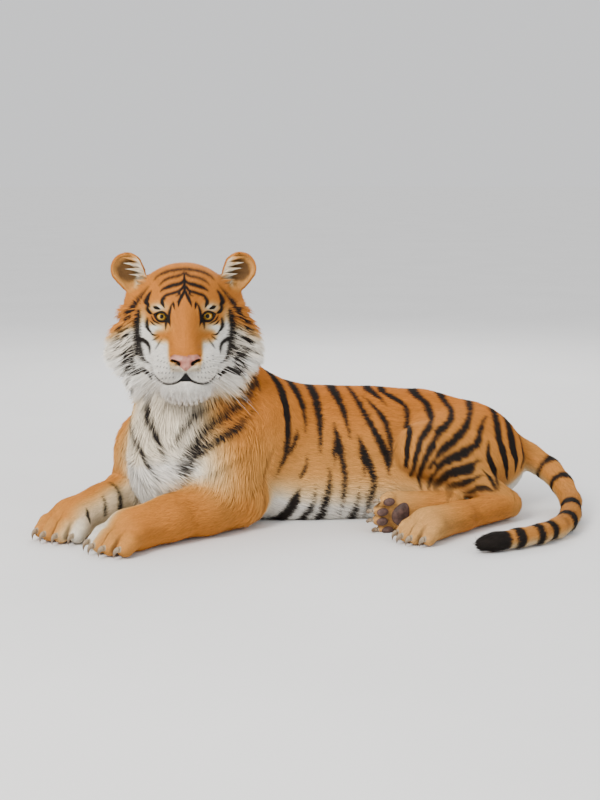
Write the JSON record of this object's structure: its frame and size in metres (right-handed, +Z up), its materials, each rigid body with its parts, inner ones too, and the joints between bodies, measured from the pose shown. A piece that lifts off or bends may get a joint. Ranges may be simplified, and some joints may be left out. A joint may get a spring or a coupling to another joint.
{
  "type": "siberian tiger",
  "caption": "Life-size still model of a big striped cat lying on its elbows, head raised and turned to its left, tail curled forward on the floor.",
  "frame": {"origin": "on the floor, under the middle of the trunk", "axes": "+Z up, +X towards the animal's left, chest towards -Y and tail towards +Y"},
  "size_m": [0.8075, 1.6172, 0.7943],
  "materials": {
    "coat": "fur, ochre to orange with black stripes and white underside",
    "pale_coat": "white fur",
    "dark_coat": "ears: pale hair inside, black fur with a white spot behind",
    "nose": "bare moist pink leather",
    "eye": "amber iris, round black pupil, wet clear cornea",
    "claw": "horn, pale with a darker root",
    "pad": "bare dark sole pads"
  },
  "bodies": {
    "root": {"claw_fore_left_1": "claw", "claw_fore_left_2": "claw", "claw_fore_left_3": "claw", "claw_fore_left_4": "claw", "claw_fore_right_1": "claw", "claw_fore_right_2": "claw", "claw_fore_right_3": "claw", "claw_fore_right_4": "claw", "claw_hind_left_1": "claw", "claw_hind_left_2": "claw", "claw_hind_left_3": "claw", "claw_hind_left_4": "claw", "claw_hind_right_1": "claw", "claw_hind_right_2": "claw", "claw_hind_right_3": "claw", "claw_hind_right_4": "claw", "ear_left": "dark_coat", "ear_right": "dark_coat", "eye_left": "eye", "eye_right": "eye", "face": "coat", "forearm_left": "coat", "forearm_right": "coat", "forepaw_left": "coat", "forepaw_right": "coat", "head": "coat", "hind_foot_left": "coat", "hind_foot_right": "coat", "lower_jaw": "pale_coat", "nape": "coat", "neck": "coat", "nose": "nose", "pad_hind_right_1": "pad", "pad_hind_right_2": "pad", "pad_hind_right_3": "pad", "pad_hind_right_4": "pad", "pad_hind_right_main": "pad", "shank_left": "coat", "shank_right": "coat", "tail_1": "coat", "tail_2": "coat", "tail_3": "coat", "tail_4": "coat", "thigh_left": "coat", "thigh_right": "coat", "trunk": "coat", "upper_foreleg_left": "coat", "upper_foreleg_right": "coat"}
  },
  "joints": []
}
